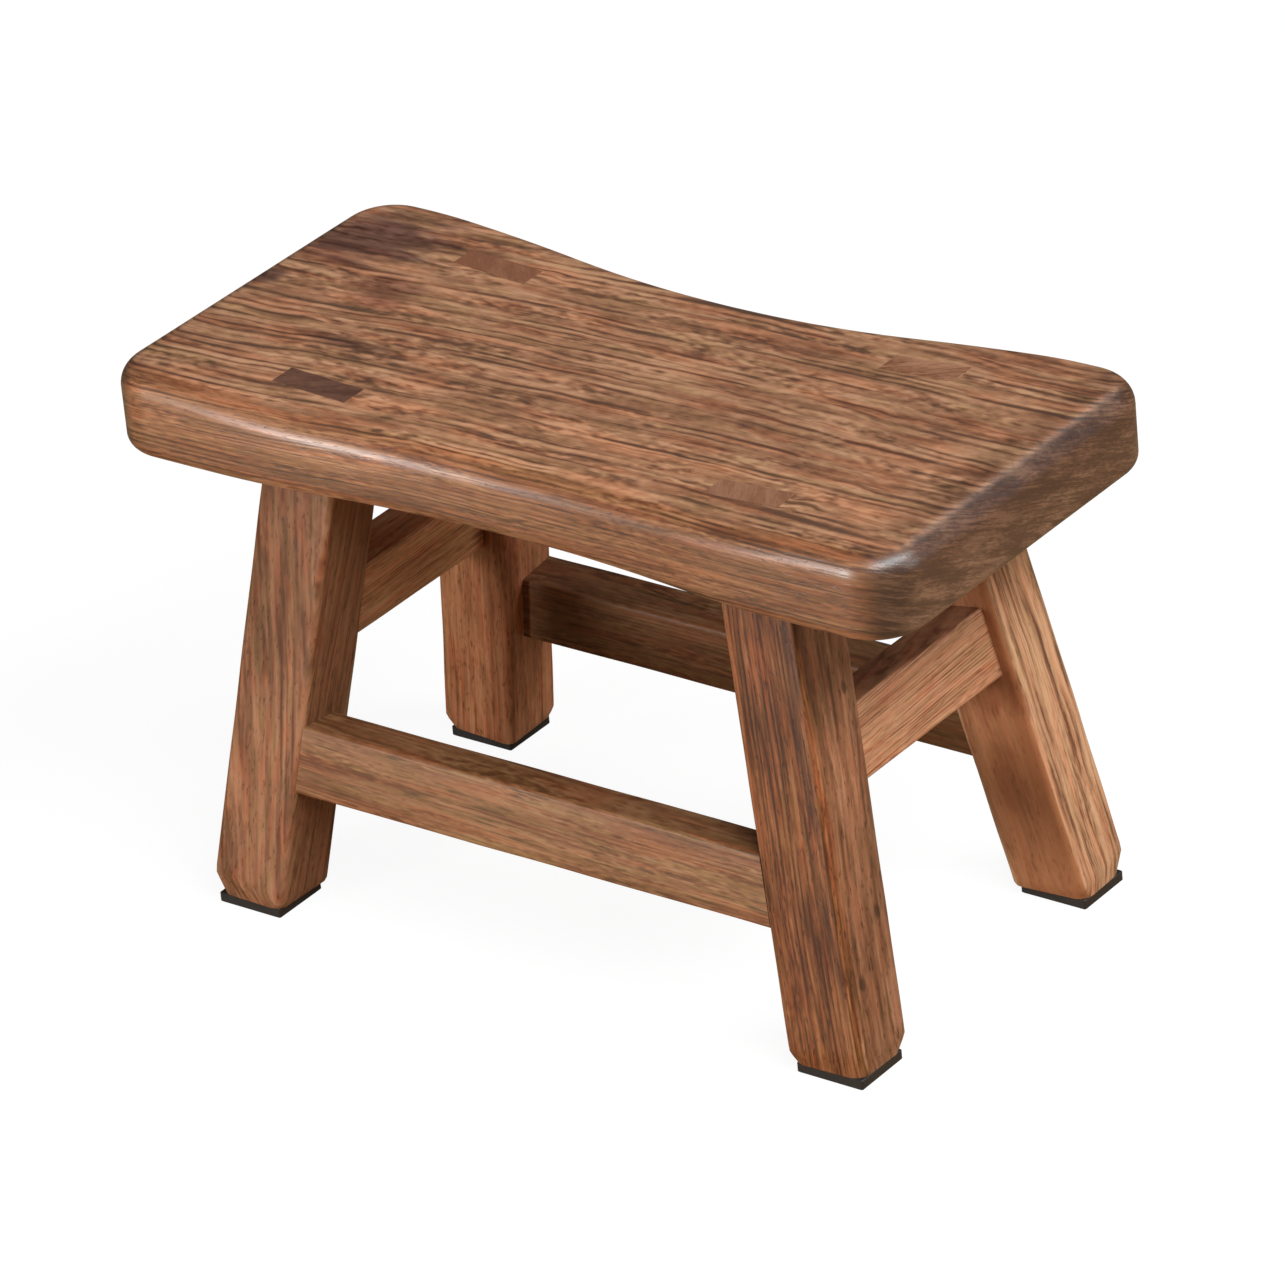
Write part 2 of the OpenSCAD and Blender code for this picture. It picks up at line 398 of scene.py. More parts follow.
def up_leg(u, v, z):
    """How far up the leg's axis the line at (u, v) reaches a height above the floor."""
    return (z - LEG_TURN[2][0] * u - LEG_TURN[2][1] * v) / LEG_TURN[2][2]


def bevel_inset(w):
    """How far the foot's bevel takes the leg's faces in, at w along the leg."""
    start = PAD_T / math.cos(SPLAY_X) + BEVEL_H + BEVEL_EASE
    down = max(0.0, start - w)
    eased = down * down / (4 * BEVEL_EASE) if down < 2 * BEVEL_EASE else down - BEVEL_EASE
    return math.tan(BEVEL_ANGLE) * eased


def leg_section(w, seed):
    """The leg's outline at w, with arrises that were rounded by hand."""
    inset = bevel_inset(w)
    radius = LEG_EDGE_R - ARRIS_SHARPER + ARRIS_SWING * wobble(0, 0, w, ARRIS_SWING_L, seed)
    radius += BEVEL_BLUNTS * inset
    plane = LEG_SWELL * wobble(4.0, 0, w, LEG_SWELL_L, seed)
    return rounded_rectangle(LEG_W / 2 - inset - plane, LEG_D / 2 - inset - plane, radius, *LEG_OUTLINE)


# Shares of a leg's length at which it gets a ring, close together over the foot's bevel
LEG_STATIONS = [0.0, 0.006, 0.014, 0.024, 0.036, 0.05, 0.066, 0.083] + [k / 40 for k in range(4, 41)]
# A point's place up the leg is found in rounds, since the section changes on the way. The first
# guess for a ring lies this far up at the foot, and rises by the next value to the shoulder.
GUESS_LOW = 20.0
GUESS_RISE = 120.0
LEG_ROUNDS = 5
TENON_ROUNDS = 6


def leg_timber(name, sides, seed):
    """The leg from the top of its pad to its shoulder."""
    columns = len(leg_section(0.0, seed))
    rings = []
    for share in LEG_STATIONS:
        ring = []
        for k in range(columns):
            w = GUESS_LOW + share * GUESS_RISE
            for _ in range(LEG_ROUNDS):
                u, v = leg_section(w, seed)[k]
                low = up_leg(u, v, PAD_T)
                w = low + share * (up_leg(u, v, SHOULDER_Z) - low)
            ring.append(mirrored(sides)(on_leg(Vector((u, v, w)))))
        rings.append(ring)
    points, faces = skin(rings)
    return new_piece(name, points, faces, sides[0] * sides[1] < 0)


TENON_COLUMNS = 16


def tenon(name, sides, grow, past):
    """The through tenon. It ends in the seat's surface, or past it where it is a cutter."""
    half = LEG_W / 2 - TENON_SIDE + grow
    outer = LEG_D / 2 - TENON_SETBACK + grow
    inner = LEG_D / 2 - TENON_SETBACK - TENON_T - grow
    rings = []
    for v in (inner, outer):
        ring = []
        for k in range(TENON_COLUMNS + 1):
            u = half * (2 * k / TENON_COLUMNS - 1)
            w = up_leg(u, v, STOOL_H)
            for _ in range(TENON_ROUNDS):
                point = on_leg(Vector((u, v, w)))
                w = up_leg(u, v, top_z(point.x) - TENON_DROP)
            ring.append(Vector((u, v, w + past)))
        for u in (half, -half):
            ring.append(Vector((u, v, up_leg(u, v, SHOULDER_Z - TENON_ROOT))))
        rings.append([mirrored(sides)(on_leg(point)) for point in ring])
    points, faces = skin(rings)
    piece = new_piece(name, points, faces)
    tidy_normals(piece)
    return piece


# Stretchers

END_MID = END_TOP - END_H / 2
LONG_MID = LONG_TOP - LONG_H / 2
END_STUB_HALF = leg_y(END_MID) - LEVEL_HALF_D + STUB_L
LONG_STUB_HALF = leg_x(LONG_MID) - LEVEL_HALF_W + STUB_L
END_PLACE = Vector((leg_x(END_TOP) + LEVEL_HALF_W - END_INSET, 0, END_TOP))
LONG_PLACE = Vector((0, leg_y(LONG_TOP) + LEVEL_HALF_D - LONG_INSET, LONG_TOP))
END_TURN = Matrix.Rotation(-SPLAY_X, 3, "Y")
LONG_TURN = Matrix.Rotation(SPLAY_Y, 3, "X") @ Matrix.Rotation(math.pi / 2, 3, "Z")


def on_end(point):
    return END_PLACE + END_TURN @ point


def on_long(point):
    return LONG_PLACE + LONG_TURN @ point


def shoulder_reach(point, direction, face):
    """Along direction from point, the distance to the inner face of the leg in its way."""
    axis = LEG_TURN.col[face]
    half = (LEG_W, LEG_D)[face] / 2
    on_face = LEG_FOOT - axis * half
    return (on_face - point).dot(axis) / direction.dot(axis)


BAR_RINGS = 40


def bar(name, thick, high, place, face, sides, seed):
    """A stretcher between the inner faces of two legs, with its ends cut to their lean."""
    section = rounded_rectangle(thick / 2, high / 2, STRETCHER_EDGE_R + BAR_EDGE_MORE, *BAR_OUTLINE)
    along = place(Vector((0, 1, 0))) - place(Vector((0, 0, 0)))
    if along.dot(LEG_FOOT) < 0:
        along = -along
    rings = []
    for step in range(BAR_RINGS + 1):
        share = 2 * step / BAR_RINGS - 1
        ring = []
        for u, v in section:
            middle = place(Vector((u - thick / 2, 0, v - high / 2)))
            reach = shoulder_reach(middle, along, face) + SHOULDER_BITE
            point = middle + along * reach * share
            dip = BAR_SWELL * wobble(point.x, point.y, point.z, BAR_SWELL_L, seed)
            inward = place(Vector((-thick / 2, 0, -high / 2))) + along * reach * share - point
            if inward.length > 0:
                point += inward.normalized() * dip
            ring.append(mirrored(sides)(point))
        rings.append(ring)
    points, faces = skin(rings)
    piece = new_piece(name, points, faces)
    tidy_normals(piece)
    return piece


def stubs(name, thick, high, half_l, place, sides, grow):
    """The blind tenons of a stretcher, as one block from end to end."""
    low = Vector((-thick / 2 - STUB_T / 2 - grow, -half_l - grow, -high + STUB_SHOULDER - grow))
    high_corner = Vector((-thick / 2 + STUB_T / 2 + grow, half_l + grow, -STUB_SHOULDER + grow))
    move = mirrored(sides)
    piece = box_tool(name, low, high_corner, lambda point: move(place(point)))
    tidy_normals(piece)
    return piece


def end_stubs(sides, grow=0.0):
    return stubs("stubs", END_T, END_H, END_STUB_HALF, on_end, (sides[0], 1), grow)


def long_stubs(sides, grow=0.0):
    return stubs("stubs", LONG_T, LONG_H, LONG_STUB_HALF, on_long, (1, sides[1]), grow)


# Whole pieces

def make_seat():
    piece = seat_blank()
    cutters = []
    for sides in QUARTERS.values():
        cutters.append(leg_housing(sides))
        cutters.append(tenon("mortise", sides, JOINT_GAP, PAST))
    combine(piece, cutters, "DIFFERENCE")
    shade(piece)
    return piece


def leg_housing(sides):
    """The flat pocket in the seat's underside that a leg's shoulder sits in."""
    half_w = LEG_W / 2 + JOINT_GAP
    half_d = LEG_D / 2 + JOINT_GAP
    outline = rounded_rectangle(half_w, half_d, LEG_EDGE_R + JOINT_GAP, *HOUSING_OUTLINE)
    move = mirrored(sides)
    rings = []
    for z in (SHOULDER_Z - PAST, SHOULDER_Z):
        rings.append([move(on_leg(Vector((u, v, up_leg(u, v, z))))) for u, v in outline])
    points, faces = skin(rings)
    piece = new_piece("housing", points, faces)
    tidy_normals(piece)
    return piece


def make_leg(quarter, seed):
    sides = QUARTERS[quarter]
    piece = leg_timber("leg_wood_" + quarter, sides, seed)
    tidy_normals(piece)
    combine(piece, [tenon("tenon", sides, 0.0, 0.0)], "UNION")
    combine(piece, [end_stubs(sides, JOINT_GAP), long_stubs(sides, JOINT_GAP)], "DIFFERENCE")
    shade(piece)
    return piece


def make_end_stretcher(side_x, seed):
    name = "end_stretcher_wood_" + ("right" if side_x > 0 else "left")
    piece = bar(name, END_T, END_H, on_end, 1, (side_x, 1), seed)
    combine(piece, [end_stubs((side_x, 1))], "UNION")
    shade(piece)
    return piece


def make_long_stretcher(side_y, seed):
    name = "long_stretcher_wood_" + ("back" if side_y > 0 else "front")
    piece = bar(name, LONG_T, LONG_H, on_long, 0, (1, side_y), seed)
    combine(piece, [long_stubs((1, side_y))], "UNION")
    shade(piece)
    return piece


def make_pad(quarter):
    """The thin pad stuck under a foot, with slightly broken edges."""
    sides = QUARTERS[quarter]
    centre = Vector(((pad_low.x + pad_high.x) / 2, (pad_low.y + pad_high.y) / 2, 0))
    levels = (
        (0.0, PAD_LOW_EDGE),
        (PAD_LOW_EDGE, 0.0),
        (PAD_T - PAD_TOP_EDGE, 0.0),
        (PAD_T, PAD_TOP_EDGE),
    )
    rings = []
    for z, inset in levels:
        outline = rounded_rectangle(PAD_W / 2 - inset, PAD_D / 2 - inset, PAD_CORNER_R, *PAD_OUTLINE)
        rings.append([mirrored(sides)(centre + Vector((u, v, z))) for u, v in outline])
    points, faces = skin(rings)
    piece = new_piece("pad_rubber_" + quarter, points, faces)
    tidy_normals(piece)
    shade(piece)
    return piece


# Materials

def colour(red, green, blue):
    """A colour as it looks on a screen, 0 to 255, turned into linear light."""
    channels = []
    for value in (red, green, blue):
        share = value / 255
        channels.append(share / 12.92 if share <= 0.04045 else ((share + 0.055) / 1.055) ** 2.4)
    return (*channels, 1.0)


class Graph:
    """The nodes of one material or world, with short calls for the kinds used here."""

    def __init__(self, owner):
        owner.use_nodes = True
        self.tree = owner.node_tree
        self.tree.nodes.clear()

    def add(self, kind, inputs=None, **settings):
        node = self.tree.nodes.new(kind)
        for key, value in settings.items():
            setattr(node, key, value)
        for key, value in (inputs or {}).items():
            if isinstance(value, bpy.types.NodeSocket):
                self.tree.links.new(value, node.inputs[key])
            else:
                node.inputs[key].default_value = value
        return node

    def math(self, operation, first, second=0.0, third=0.0):
        ends = {0: first, 1: second, 2: third}
        return self.add("ShaderNodeMath", ends, operation=operation).outputs[0]

    def vector(self, operation, first, second=(0, 0, 0)):
        return self.add("ShaderNodeVectorMath", {0: first, 1: second}, operation=operation)

    def span(self, value, low, high, to_low=0.0, to_high=1.0, kind="SMOOTHSTEP"):
        """Maps the range low to high onto to_low to to_high."""
        ends = {"Value": value, "From Min": low, "From Max": high, "To Min": to_low, "To Max": to_high}
        return self.add("ShaderNodeMapRange", ends, interpolation_type=kind).outputs["Result"]

    def noise(self, place, sizes, detail=0.0, roughness=0.5):
        """Noise from 0 to 1 whose cells have a size along each axis."""
        scaled = self.vector("MULTIPLY", place, tuple(1 / size for size in sizes)).outputs[0]
        ends = {"Vector": scaled, "Scale": 1.0, "Detail": detail, "Roughness": roughness}
        return self.add("ShaderNodeTexNoise", ends).outputs["Fac"]

    def about_zero(self, value, strength):
        """A value from 0 to 1 shifted to lie either side of zero, times a strength."""
        return self.math("MULTIPLY", self.math("SUBTRACT", value, 0.5), strength)

    def swing(self, place, sizes, reach, detail=0.0):
        """Noise that swings either side of zero by about reach."""
        return self.about_zero(self.noise(place, sizes, detail), 4 * reach)

    def total(self, values):
        value = values[0]
        for other in values[1:]:
            value = self.math("ADD", value, other)
        return value

    def mix(self, share, first, second, blend="MIX"):
        node = self.add("ShaderNodeMix", data_type="RGBA", blend_type=blend)
        for index, value in ((0, share), (6, first), (7, second)):
            if isinstance(value, bpy.types.NodeSocket):
                self.tree.links.new(value, node.inputs[index])
            else:
                node.inputs[index].default_value = value
        return node.outputs[2]

    def multiply(self, share, first, second):
        """The first colour, multiplied by the second to the share given."""
        return self.mix(share, first, second, "MULTIPLY")

    def ramp(self, value, stops):
        node = self.add("ShaderNodeValToRGB", {0: value})
        elements = node.color_ramp.elements
        while len(elements) < len(stops):
            elements.new(0.5)
        for element, (position, tint) in zip(elements, stops):
            element.position = position
            element.color = tint
        return node.outputs["Color"]


class Lie:
    """How a piece's timber lies: X along the grain, Z through its growth layers."""

    def __init__(self, turn, origin, tilt, run_out, seed, sides=(1, 1)):
        run = Matrix.Rotation(math.radians(run_out), 3, "Z")
        axes = turn @ (run @ Matrix.Rotation(math.radians(-tilt), 3, "X"))
        back = axes.transposed()
        self.scale = (sides[0] / MM, sides[1] / MM, 1 / MM)
        self.rotation = back.to_euler("XYZ")
        self.offset = Vector(seed) - back @ origin
        along = axes.col[0]
        within = axes.col[1]
        self.along = (along.x * sides[0], along.y * sides[1], along.z)
        self.within = (within.x * sides[0], within.y * sides[1], within.z)


# Tone positions that about 2, 15, 50, 85 and 98 percent of a surface lie below, and the end grain's
TONE_STOPS = (0.16, 0.33, 0.5, 0.67, 0.84)
END_TONE_STOPS = (0.2, 0.5, 0.8)

# Sizes of the figure's cells: along the grain, across it, and through the growth layers
SWAY_CELLS = (130, 50, 50)
RIPPLE_CELLS = (16, 8, 8)
CURL_CELLS = (7, 4, 4)
DRIFT_CELLS = (70, 26, 4.0)
STRENGTH_CELLS = (80, 24, 2.2)
SEAM_CELLS = (320, 120, 2.6)
STREAK_CELLS = (34, 12, 1.3)
HAIR_CELLS = (30, 6, 0.5)
FLECK_CELLS = (5, 4, 0.9)
BROAD_CELLS = (60, 24, 5)
BROKEN_CELLS = (44, 18, 2.8)
PORE_CELLS = (3.6, 0.8, 0.7)
BLOTCH_CELLS = (13, 7, 1.2)
RING_CELLS = (90, 8, 0.8)
SPECK_CELLS = (60, 2.2, 0.5)
BLUR_CELLS = (16, 6, 1.6)

# Parts of a noise's range over which each effect sets in
STRENGTH_SPAN = (0.42, 0.6)
SEAM_HALF = 0.03
BROKEN_SPAN = (0.5, 0.62)
PORE_SPAN = (0.6, 0.7)
REDDER_SPAN = (0.48, 0.66)
GREENER_SPAN = (0.5, 0.32)
BLOTCH_SPAN = (0.58, 0.72)
# Where a mark's edge starts and is full, in shares of its radii
MARK_SPAN = (1.35, 0.55)
# A face is 1 where it is square to the layers and 0 along them. It turns flat-cut over the first
# span, and square over the second.
FLAT_SPAN = (0.7, 0.4)
SQUARE_SPAN = (0.5, 0.95)

# Growth lines: distance and drift in growth layers, how light they are as against dark, and the
# parts of a wave in which they turn light and dark
LINE_PITCH = 1.3
LINE_DRIFT = 0.5
LINE_LIGHT = 0.4
LIGHT_SPAN = (-0.2, -0.95)
DARK_SPAN = (0.1, 0.95)
# What is left of the lines where they break up, and how much stronger the flecks are there
BROKEN_LINES = 0.3
BROKEN_FLECKS = 2.6
# How far the figure moves the edge of a stain or of a patch of painted light or shade, in shares of its
# radii
MARK_BLUR = 0.4

# End grain: strengths of its rings, specks, broad tones and seams, and how much darker it is
END_RING = 1.2
END_SPECK = 0.9
END_BROAD = 1.6
END_DARKER = -0.3
END_SEAM = -3.0

REDDER_TINT = (1.05, 0.85, 0.77, 1)
GREENER_TINT = (0.88, 0.94, 0.8, 1)
BLOTCH_TINT = (0.45, 0.5, 0.44, 1)

# Relief in the surface: its depth, and the figure that makes it
RELIEF_DEPTH = 0.2
RELIEF = {"streak": 0.5, "pore": -0.5, "lines": 0.3}
# How much rougher dark wood is than its look says, how much smoother light wood is, and the tones
# from one to the other
ROUGHER = 0.05
SMOOTHER = 0.03
ROUGH_SPAN = (0.1, 0.9)


def shades(colours, positions=TONE_STOPS):
    return [(position, colour(*tint)) for position, tint in zip(positions, colours)]


def stretched(cells, length=1.0, pitch=1.0):
    """Cell sizes, times a factor along the grain and another through the layers."""
    along, across, through = cells
    return (along * length, across, through * pitch)


def mark(g, place, centre, radii, turn=0.0, blur=0.0):
    """From 0 outside to 1 inside an ellipsoid of the frame, with its edge moved by blur."""
    scale = tuple(1 / (radius * MM) for radius in radii)
    spin = Euler((0, 0, -turn)).to_matrix()
    offset = -(spin @ Vector(centre)) * MM
    ends = {"Vector": place, "Rotation": (0, 0, -turn), "Location": offset}
    turned = g.add("ShaderNodeMapping", ends, vector_type="POINT").outputs[0]
    reach = g.vector("LENGTH", g.vector("MULTIPLY", turned, scale).outputs[0]).outputs["Value"]
    if blur:
        reach = g.math("ADD", reach, blur)
    return g.span(reach, *MARK_SPAN)


def growth_layers(g, flat, place, look):
    """Coordinates that follow the growth layers, which sway, ripple a little and curl at knots."""
    lift = [
        g.swing(flat, SWAY_CELLS, look["sway"], 1.0),
        g.swing(flat, RIPPLE_CELLS, look["ripple"]),
    ]
    for centre, radii, rise in look["curls"]:
        lift.append(g.math("MULTIPLY", mark(g, place, centre, radii), g.swing(flat, CURL_CELLS, rise)))
    shift = g.add("ShaderNodeCombineXYZ", {"Z": g.total(lift)}).outputs[0]
    return g.vector("ADD", flat, shift).outputs[0]


def growth_lines(g, grain, look):
    """Long thin lines at nearly even distances, dark beside light, which fade in and out: -1 to 0.4."""
    pitch = look["pitch"]
    length = look["length"]
    across = g.add("ShaderNodeSeparateXYZ", {0: grain}).outputs["Z"]
    drift = g.swing(grain, stretched(DRIFT_CELLS, length, pitch), LINE_DRIFT * pitch)
    turns = g.math("MULTIPLY", g.math("ADD", across, drift), 2 * math.pi / (LINE_PITCH * pitch))
    wave = g.math("SINE", turns)
    strength = g.noise(grain, stretched(STRENGTH_CELLS, length, pitch), 1.0)
    light = g.span(wave, *LIGHT_SPAN, 0.0, LINE_LIGHT)
    dark = g.span(wave, *DARK_SPAN)
    return g.math("MULTIPLY", g.span(strength, *STRENGTH_SPAN), g.math("SUBTRACT", light, dark))


def long_seams(g, grain, look):
    """A few long dark lines far apart: 0 to 1."""
    level = g.noise(grain, stretched(SEAM_CELLS, pitch=look["pitch"]))
    return g.span(g.math("ABSOLUTE", g.math("SUBTRACT", level, 0.5)), 0.0, SEAM_HALF, 1.0, 0.0)


def wood_fields(g, grain, look):
    """The values that the timber's figure is made of."""
    size = (look["length"], look["pitch"])
    # In some zones the lines break up into flecks
    broken = g.span(g.noise(grain, stretched(BROKEN_CELLS, *size), 1.0), *BROKEN_SPAN)
    lines = growth_lines(g, grain, look)
    return {
        "streak": g.noise(grain, stretched(STREAK_CELLS, *size), 2.0, 0.5),
        "hair": g.noise(grain, stretched(HAIR_CELLS, look["length"]), 1.0),
        "fleck": g.noise(grain, FLECK_CELLS, 1.0, 0.5),
        "broad": g.noise(grain, BROAD_CELLS, 1.0),
        "broken": broken,
        "lines": g.math("MULTIPLY", lines, g.span(broken, 0, 1, 1, BROKEN_LINES)),
        "seams": long_seams(g, grain, look),
        "pore": g.span(g.noise(grain, PORE_CELLS, 1.0), *PORE_SPAN),
    }


def wood_tone(g, fields, edge_on, flat_share, look):
    """How light the timber is, from 0 to 1. The figure has its own strength on flat-cut faces."""
    fleck = look["fleck"]
    figure = g.total([
        g.about_zero(fields["streak"], look["streak"]),
        g.about_zero(fields["fleck"], g.span(fields["broken"], 0, 1, fleck, BROKEN_FLECKS * fleck)),
        g.about_zero(fields["hair"], look["hair"]),
        g.math("MULTIPLY", fields["lines"], look["line"]),
        g.math("MULTIPLY", fields["seams"], -look["seam"]),
        look["lighten"],
    ])
    figure = g.math("MULTIPLY", figure, g.span(edge_on, *SQUARE_SPAN, 1.0, look["edge_on"]))
    figure = g.math("MULTIPLY", figure, g.span(flat_share, 0.0, 1.0, 1.0, look["flat_on"]))
    return g.total([
        figure,
        g.about_zero(fields["broad"], look["broad"]),
        g.math("MULTIPLY", fields["pore"], -look["pores"]),
        0.5,
    ])


def hue_patches(g, grain, wood, flat_share, look):
    """Patches of redder brown and of greener brown, and dark blotches."""
    hue = g.noise(grain, look["patch"], 1.0)
    patchy = g.span(flat_share, 0.0, 1.0, 1.0, look["flat_on"])
    for where, strength, tint in (
        (REDDER_SPAN, look["redder"], REDDER_TINT),
        (GREENER_SPAN, look["greener"], GREENER_TINT),
    ):
        share = g.math("MULTIPLY", g.span(hue, *where, 0.0, strength), patchy)
        wood = g.multiply(share, wood, tint)
    blotch = g.noise(grain, stretched(BLOTCH_CELLS, look["length"], look["pitch"]), 2.0, 0.5)
    share = g.math("MULTIPLY", g.span(blotch, *BLOTCH_SPAN), look["blotch"])
    return g.multiply(share, wood, BLOTCH_TINT)


def end_grain(g, grain, fields, look):
    """The colour of end grain, where pores are dots and the tones are closer together."""
    ring = g.noise(grain, RING_CELLS, 2.0, 0.6)
    speck = g.noise(grain, SPECK_CELLS, 1.0)
    tone = g.total([
        g.about_zero(ring, END_RING),
        g.about_zero(speck, END_SPECK),
        g.math("MULTIPLY_ADD", fields["broad"], END_BROAD, END_DARKER),
        g.math("MULTIPLY", fields["seams"], END_SEAM * look["seam"]),
    ])
    return g.ramp(tone, shades(look["end_palette"], END_TONE_STOPS))


def satin(g, fields, tone, wood, look):
    """The surface: a satin finish, with the streaks and pores just felt in it."""
    relief = g.total([g.math("MULTIPLY", fields[part], rise) for part, rise in RELIEF.items()])
    ends = {"Strength": look["bump"], "Distance": RELIEF_DEPTH * MM, "Height": relief}
    bump = g.add("ShaderNodeBump", ends)
    rough_ends = (look["rough"] + ROUGHER, look["rough"] - SMOOTHER)
    rough = g.span(tone, *ROUGH_SPAN, *rough_ends, "LINEAR")
    ends = {"Base Color": wood, "Roughness": rough, "Normal": bump.outputs[0]}
    shader = g.add("ShaderNodeBsdfPrincipled", {**ends, "Specular IOR Level": look["specular"]})
    g.add("ShaderNodeOutputMaterial", {"Surface": shader.outputs[0]})


def timber_material(name, lie, look):
    """Hardwood under a satin finish: growth layers cut at a slant, pores, end grain, stains, and
    painted light and shade.
    """
    material = bpy.data.materials.new(name)
    g = Graph(material)
    source = g.add("ShaderNodeTexCoord")
    place = source.outputs["Object"]
    normal = source.outputs["Normal"]
    ends = {"Vector": place, "Location": lie.offset, "Rotation": lie.rotation, "Scale": lie.scale}
    flat = g.add("ShaderNodeMapping", ends, vector_type="POINT").outputs[0]
    grain = growth_layers(g, flat, place, look)
    fields = wood_fields(g, grain, look)

    # 1 on faces square to the layers, and the share of a face that lies along them
    edge_on = g.math("ABSOLUTE", g.vector("DOT_PRODUCT", normal, lie.within).outputs["Value"])
    flat_share = g.span(edge_on, *FLAT_SPAN)
    tone = wood_tone(g, fields, edge_on, flat_share, look)
    wood = g.ramp(tone, shades(look["palette"]))
    wood = g.multiply(flat_share, wood, look["flat_tint"])
    wood = hue_patches(g, grain, wood, flat_share, look)

    facing = g.math("ABSOLUTE", g.vector("DOT_PRODUCT", normal, lie.along).outputs["Value"])
    wood = g.mix(g.span(facing, *look["end_turn"]), wood, end_grain(g, grain, fields, look))

    blur = g.swing(grain, BLUR_CELLS, MARK_BLUR, 2.0)
    # Stains, and patches of painted light and shade, each multiply the colour inside an ellipsoid
    for centre, radii, turn, tint in look["stains_and_painted_light"]:
        wood = g.multiply(mark(g, place, centre, radii, math.radians(turn), blur), wood, tint)

    satin(g, fields, tone, wood, look)
    return material


# A timber's look. Palettes go from dark to light. pitch and length stretch the figure through the
# layers and along the grain. sway and ripple bend the layers. streak, fleck, hair, broad, line, seam
# and pores are the strengths of the figure's parts, and lighten shifts it. edge_on and flat_on scale
# it on faces square to the layers and along them. redder, greener and blotch are the strengths of
# the patches. A curl is a centre, radii and a rise; a stain, and a patch of painted light or shade, a
# centre, radii, turn and tint.
TIMBER = {
    "palette": [(98, 60, 38), (109, 68, 45), (133, 89, 64), (151, 107, 80), (161, 119, 92)],
    "end_palette": [(84, 56, 42), (105, 76, 57), (130, 100, 78)],
    "end_turn": (0.45, 0.85),
    "pitch": 1.0,
    "length": 1.2,
    "sway": 1.2,
    "ripple": 0.1,
    "streak": 0.8,
    "fleck": 0.2,
    "hair": 0.3,
    "broad": 0.5,
    "line": 0.16,
    "seam": 0.0,
    "edge_on": 0.8,
    "flat_on": 1.0,
    "flat_tint": (1, 1, 1, 1),
    "pores": 0.2,
    "lighten": 0.06,
    "redder": 0.8,
    "greener": 0.8,
    "patch": (18, 6, 1.1),
    "blotch": 0.5,
    "curls": [],
    "stains_and_painted_light": [],
    "bump": 0.3,
    "rough": 0.34,
    "specular": 0.42,
}

# Which way the grain runs
ALONG_X = Matrix.Identity(3)
ALONG_Y = Matrix(((0, -1, 0), (1, 0, 0), (0, 0, 1)))
UPWARD = Matrix(((0, 0, -1), (0, 1, 0), (1, 0, 0)))

# How boards lie: a point that their figure is laid out from, and their layers' tilt and run-out in
# degrees. The seeds shift the figure, so that no two boards share one.
SEAT_LIE = (Vector((0, 0, 170)), 20.0, 2.3)
END_LIE = (Vector((0, 0, 97)), 20.0, 6.0)
LONG_LIE = (Vector((0, 0, 57)), 30.0, -2.0)
SEAT_SHIFT = (11, 5, 3)
LEG_SHIFT = (40.0, 17.0, 9.0)
END_SHIFT = (90, 20, 30)
LONG_SHIFT = (70, 50, 10)

PURPLE_STAIN = (0.36, 0.32, 0.4, 1)


def seat_material():
    look = {
        **TIMBER,
        "palette": [(80, 52, 36), (101, 64, 42), (127, 84, 56), (147, 101, 70), (165, 118, 84)],
        "flat_tint": (1.46, 1.66, 1.94, 1),
        "end_palette": [(72, 45, 31), (93, 64, 46), (119, 87, 66)],
        "rough": 0.37,
        "specular": 0.85,
        "patch": (34, 13, 2.2),
        "redder": 0.7,
        "greener": 0.5,
        "end_turn": (0.3, 0.65),
        "length": 1.0,
        "sway": 0.8,
        "ripple": 0.15,
        "streak": 1.05,
        "fleck": 0.48,
        "hair": 0.3,
        "broad": 0.3,
        "line": 0.32,
        "seam": 0.2,
        "pores": 0.12,
        "lighten": 0.08,
        "edge_on": 0.75,
        "curls": [
            ((-64, -47, 180), (9, 7, 12), 0.4),
            ((55, -44, 180), (9, 7, 12), 0.4),
            ((99, -47, 180), (9, 7, 12), 0.4),
            ((-63, 47, 180), (9, 7, 12), 0.4),
        ],
        "stains_and_painted_light": [
            ((-128, 42, 185), (27, 17, 14), 25, PURPLE_STAIN),
            ((-90, -19, 182), (21, 3.6, 12), 5, (0.5, 0.46, 0.5, 1)),
            ((-143, 5, 185), (8, 5, 14), 0, PURPLE_STAIN),
            ((-102, 16, 183), (10, 12, 12), 60, (0.6, 0.52, 0.55, 1)),
            ((143, -66, 168), (9, 9, 17), 0, (0.6, 0.57, 0.58, 1)),
            # Part real tone, part painted shade: a purple-brown band over the right end's top round and
            # the top beside it, made darker to tone down the lamps' sheen there
            ((151.5, 4, 176.5), (8, 78, 7.5), 0, (0.76, 0.67, 0.67, 1)),
            ((142, 0, 187), (10, 80, 7.5), 0, (0.68, 0.67, 0.66, 1)),
            # Painted highlight: a paler, bluer band along the top round-over of the front edge, on its
            # left half
            ((-76, -70, 177), (72, 7, 8), 2, (1.36, 1.44, 1.54, 1)),
            # Lighter over the front half of the top
            ((30, -48, 181), (110, 20, 14), 0, (1.12, 1.12, 1.1, 1)),
        ],
    }
    return timber_material("seat_timber", Lie(ALONG_X, *SEAT_LIE, SEAT_SHIFT), look)


